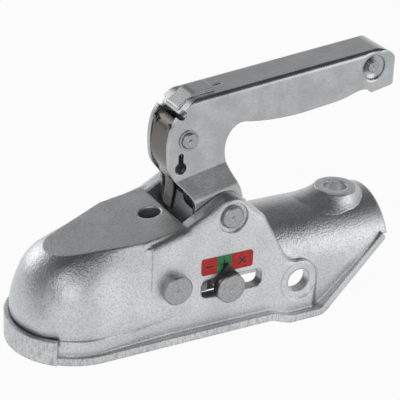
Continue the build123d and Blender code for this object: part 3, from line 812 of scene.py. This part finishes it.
@dataclass
class HandLever:
    """The pressed lever with its rivet, spacer, sleeve, catch pin and washers."""

    pivot_mm: tuple = (82.0, 0.0, 52.5)
    catch_mm: tuple = (62.4, 0.0, 95.1)

    def dress(self) -> list[str]:
        """Dresses the nodes of the lever.

        Returns:
            The names of the dressed nodes.
        """
        low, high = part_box("grip_rivet")
        rivet = tuple((low + high) / 2 / MM)
        washer = TurnedMetal("catch_washer_zinc", self.catch_mm, roughness=0.3).make()
        finishes = {
            "lever": PressedZinc("pressed_zinc", dish_mm=rivet).make(),
            "pivot_sleeve": TurnedMetal("sleeve_steel", self.pivot_mm, tone=0.4).make(),
            "lever_spring": TurnedMetal("lever_spring_steel", self.pivot_mm, tone=0.3).make(),
            "grip_rivet": TurnedMetal("rivet_zinc", rivet).make(),
            "grip_spacer": TurnedMetal("spacer_zinc", rivet, tone=0.5).make(),
            "catch_pin": TurnedMetal("catch_pin_zinc", self.catch_mm).make(),
            "catch_washer_near": washer,
            "catch_washer_far": washer,
        }
        for node, material in finishes.items():
            dress(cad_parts[node], material)
        return list(finishes)


@dataclass
class LeverSpring:
    """The lever's torsion spring: one leg stays on the head, the other turns with the lever."""

    pivot_mm: tuple = (82.0, 52.5)
    coil_r_mm: float = 9.95
    wire_mm: float = 2.8
    turns: int = 5
    pitch_mm: float = 3.2
    leg_down_mm: tuple = (31.0, -13.5)
    leg_up_mm: tuple = (-10.0, 61.6)
    bend_mm: float = 5.6
    leg_rows: int = 14
    turn_rows: int = 56

    def dress(self) -> list[str]:
        """Builds the spring, dresses it, bakes its place into the mesh and hides the imported spring.

        Returns:
            The piece's name.
        """
        piece = Surfaces.wire("lever_spring_wire", self._path() * MM, self.wire_mm / 2 * MM)
        dress(piece, TurnedMetal("wound_spring_steel", (self.pivot_mm[0], 0.0, self.pivot_mm[1]), tone=0.3,
                                 roughness=0.28).make())
        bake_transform(piece)
        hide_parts("lever_spring")
        return [piece.name]

    def _leg(self, foot: np.ndarray, rise: float, tip: tuple) -> np.ndarray:
        """One leg, from the coil outwards.

        It leaves straight up or down, turns through a quadratic curve with its control point at the bend,
        and runs straight to the tip.

        Args:
            foot: where it leaves the coil.
            rise: 1 upwards, -1 downwards.
            tip: the leg's end, from the pivot.

        Returns:
            Points as (n, 3), without the foot.
        """
        corner = foot + np.array([0.0, 0.0, rise * self.bend_mm])
        end = np.array([self.pivot_mm[0] + tip[0], foot[1], self.pivot_mm[1] + tip[1]])
        past = corner + (end - corner) / np.linalg.norm(end - corner) * self.bend_mm
        share = np.linspace(0.0, 1.0, self.leg_rows)[1:, None]
        curve = (1 - share) ** 2 * foot + 2 * share * (1 - share) * corner + share ** 2 * past
        return np.concatenate([curve, past + (end - past) * share])

    def _path(self) -> np.ndarray:
        """The wire's middle line: a leg, a screw line round the pivot from far to near, and a leg."""
        angle = np.linspace(0.0, 2 * math.pi * self.turns, self.turn_rows * self.turns + 1)
        coil = np.stack([self.pivot_mm[0] + self.coil_r_mm * np.cos(angle),
                         self.pitch_mm * (self.turns / 2 - angle / (2 * math.pi)),
                         self.pivot_mm[1] + self.coil_r_mm * np.sin(angle)], -1)
        down = self._leg(coil[0], -1.0, self.leg_down_mm)[::-1]
        return np.concatenate([down, coil, self._leg(coil[-1], 1.0, self.leg_up_mm)])


@dataclass
class SafetyCatch:
    """The bent catch in the lever's neck and its spring."""

    pin_mm: tuple = (62.4, 0.0, 95.1)

    def dress(self) -> list[str]:
        """Dresses the nodes of the catch.

        Returns:
            The names of the dressed nodes.
        """
        # painted reflection: the catch's dark warm tone stands in for the brown it reflects
        dress(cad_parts["safety_catch"], PressedZinc("catch_zinc", 0.12, 0.06, 0.22).make())
        dress(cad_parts["catch_spring"],
              TurnedMetal("catch_spring_steel", self.pin_mm, tone=0.3, roughness=0.28).make())
        return ["safety_catch", "catch_spring"]


@dataclass
class ClampingJaw:
    """The sliding jaw with the indicator pin, pointer and washers."""

    pin_mm: tuple = (79.5, 0.0, 11.2)

    def dress(self) -> list[str]:
        """Dresses the nodes of the jaw.

        Returns:
            The names of the dressed nodes.
        """
        finishes = {
            "clamping_jaw": DarkIron(),
            "indicator_pin": TurnedMetal("indicator_pin_zinc", self.pin_mm),
            "pointer_washer": BlackPlate(),
            "far_washer": TurnedMetal("far_washer_zinc", self.pin_mm),
            "indicator_pin_ring": TurnedMetal("indicator_ring_steel", self.pin_mm, tone=0.3, roughness=0.3),
        }
        for node, finish in finishes.items():
            dress(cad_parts[node], finish.make())
        return list(finishes)


@dataclass
class Studio:
    """Floor, world, lamps and camera."""

    turn_deg: float = 29.5
    rise_deg: float = 26.0
    roll_deg: float = 2.5
    stand_mm: tuple = (-350.0, -757.0, 474.0)
    lens_mm: float = 153.0
    sensor_mm: float = 36.0
    floor_half: float = 6.0
    floor_gap: float = 0.0002
    floor_rows: int = 9
    floor_cloud_mm: float = 400.0
    floor_white: float = 0.95
    front_glow: float = 0.25
    plain_light: float = 0.34
    glow_by_height: tuple = ((0.0, 1.0), (0.22, 0.85), (0.52, 0.50), (0.68, 0.10), (1.0, 0.03))
    lamp_target: tuple = (0.08, 0.0, 0.05)
    lamps: tuple = (("key_lamp", (-1.0, -1.2, 1.1), 1.6, 9.0),
                    ("fill_lamp", (1.2, -1.2, 0.7), 1.0, 4.0),
                    ("rear_lamp", (-0.5, 1.5, 0.6), 0.8, 4.0))

    def build(self) -> None:
        """Makes everything round the object."""
        self._view()
        self._floor()
        self._world()
        for lamp in self.lamps:
            self._lamp(*lamp)

    def _camera(self) -> Matrix:
        """The camera's turned axes as a matrix: right, up and backwards, rolled clockwise."""
        turn, rise, roll = (math.radians(angle) for angle in (self.turn_deg, self.rise_deg, self.roll_deg))
        back = Vector((-math.sin(turn) * math.cos(rise), -math.cos(turn) * math.cos(rise), math.sin(rise)))
        right = Vector((math.cos(turn), -math.sin(turn), 0.0))
        up = back.cross(right)
        tilted = math.cos(roll) * right + math.sin(roll) * up
        upright = -math.sin(roll) * right + math.cos(roll) * up
        return Matrix((tilted, upright, back)).transposed()

    def _view(self) -> None:
        """Sets the camera and the view transform."""
        data = bpy.data.cameras.new("camera")
        data.lens = self.lens_mm
        data.sensor_width = self.sensor_mm
        data.sensor_fit = "HORIZONTAL"
        data.clip_start = 0.05
        data.clip_end = 50.0
        camera = bpy.data.objects.new("camera", data)
        bpy.context.scene.collection.objects.link(camera)
        camera.matrix_world = Matrix.Translation(Vector(self.stand_mm) * MM) @ self._camera().to_4x4()
        bpy.context.scene.camera = camera
        bpy.context.scene.view_settings.view_transform = "Standard"

    def _floor(self) -> None:
        """A flat pale floor just under the object's lowest point, white to the camera and in reflections."""
        level = CAD_BOX[0][2] - self.floor_gap
        edge = np.linspace(-self.floor_half, self.floor_half, self.floor_rows)
        x, y = np.meshgrid(edge, edge, indexing="ij")
        points = np.stack([x, y, np.full_like(x, level)], -1)[:, ::-1]
        floor = Surfaces.grid("floor", np.ascontiguousarray(points), False, False)
        web = Web("floor_paint")
        tone = web.mix(web.noise(self.floor_cloud_mm, 2.0, 0.5), grey(0.80), grey(0.84))
        diffuse = web.node("ShaderNodeBsdfDiffuse", None, {"Color": tone})
        white = web.node("ShaderNodeEmission", None, {"Color": grey(1.0), "Strength": 1.0})
        camera = web.node("ShaderNodeLightPath", None, None, "Is Camera Ray")
        seen = camera.highest(camera.other("Is Glossy Ray")).highest(camera.other("Is Transmission Ray"))
        mixed = web.node("ShaderNodeMixShader", None, {0: seen * self.floor_white, 1: diffuse, 2: white})
        web.node("ShaderNodeOutputMaterial", None, {"Surface": mixed})
        dress(floor, web.owner)

    def _world(self) -> None:
        """White for the camera, bright near the horizon and dark overhead for reflections, grey for light."""
        web = Web("studio", world=True)
        bpy.context.scene.world = web.owner
        across = web.node("ShaderNodeSeparateXYZ", None,
                          {0: web.node("ShaderNodeTexCoord", None, None, "Generated")})
        side = web.node("ShaderNodeMapRange", None,
                        {"Value": across, "From Min": -1.0, "From Max": -0.1,
                         "To Min": self.front_glow, "To Max": 1.0})
        glow = web.node("ShaderNodeValToRGB",
                        {"stops": [(place, grey(tone)) for place, tone in self.glow_by_height]},
                        {0: across.other(2)})
        shiny = web.node("ShaderNodeBackground", None, {"Color": glow, "Strength": side})
        plain = web.node("ShaderNodeBackground", None, {"Color": grey(0.9), "Strength": self.plain_light})
        white = web.node("ShaderNodeBackground", None, {"Color": grey(1.0), "Strength": 1.0})
        camera = web.node("ShaderNodeLightPath", None, None, "Is Camera Ray")
        mirrored = camera.other("Is Glossy Ray").highest(camera.other("Is Transmission Ray"))
        lit = web.node("ShaderNodeMixShader", None, {0: mirrored, 1: plain, 2: shiny})
        seen = web.node("ShaderNodeMixShader", None, {0: camera, 1: lit, 2: white})
        web.node("ShaderNodeOutputWorld", None, {"Surface": seen})

    def _lamp(self, name: str, place: tuple, size: float, power: float) -> None:
        """Adds a soft square lamp that faces the object.

        Args:
            name: the lamp's name.
            place: where it stands, in metres.
            size: its side, in metres.
            power: its power, in watts.
        """
        data = bpy.data.lights.new(name, "AREA")
        data.shape = "SQUARE"
        data.size = size
        data.energy = power
        lamp = bpy.data.objects.new(name, data)
        bpy.context.scene.collection.objects.link(lamp)
        lamp.location = place
        lamp.rotation_euler = (Vector(self.lamp_target) - Vector(place)).to_track_quat("-Z", "Y").to_euler()


def main() -> None:
    """Builds the classes in order and reports each piece."""
    logging.basicConfig(level=logging.INFO, format="%(message)s")
    Studio().build()
    for assembly in (Head(), BossFlare(), ShoulderBlend(), HandLever(), LeverSpring(), SafetyCatch(),
                     ClampingJaw()):
        for piece in assembly.dress():
            LOG.info("dressed %s", piece)


if __name__ == "__main__":
    main()
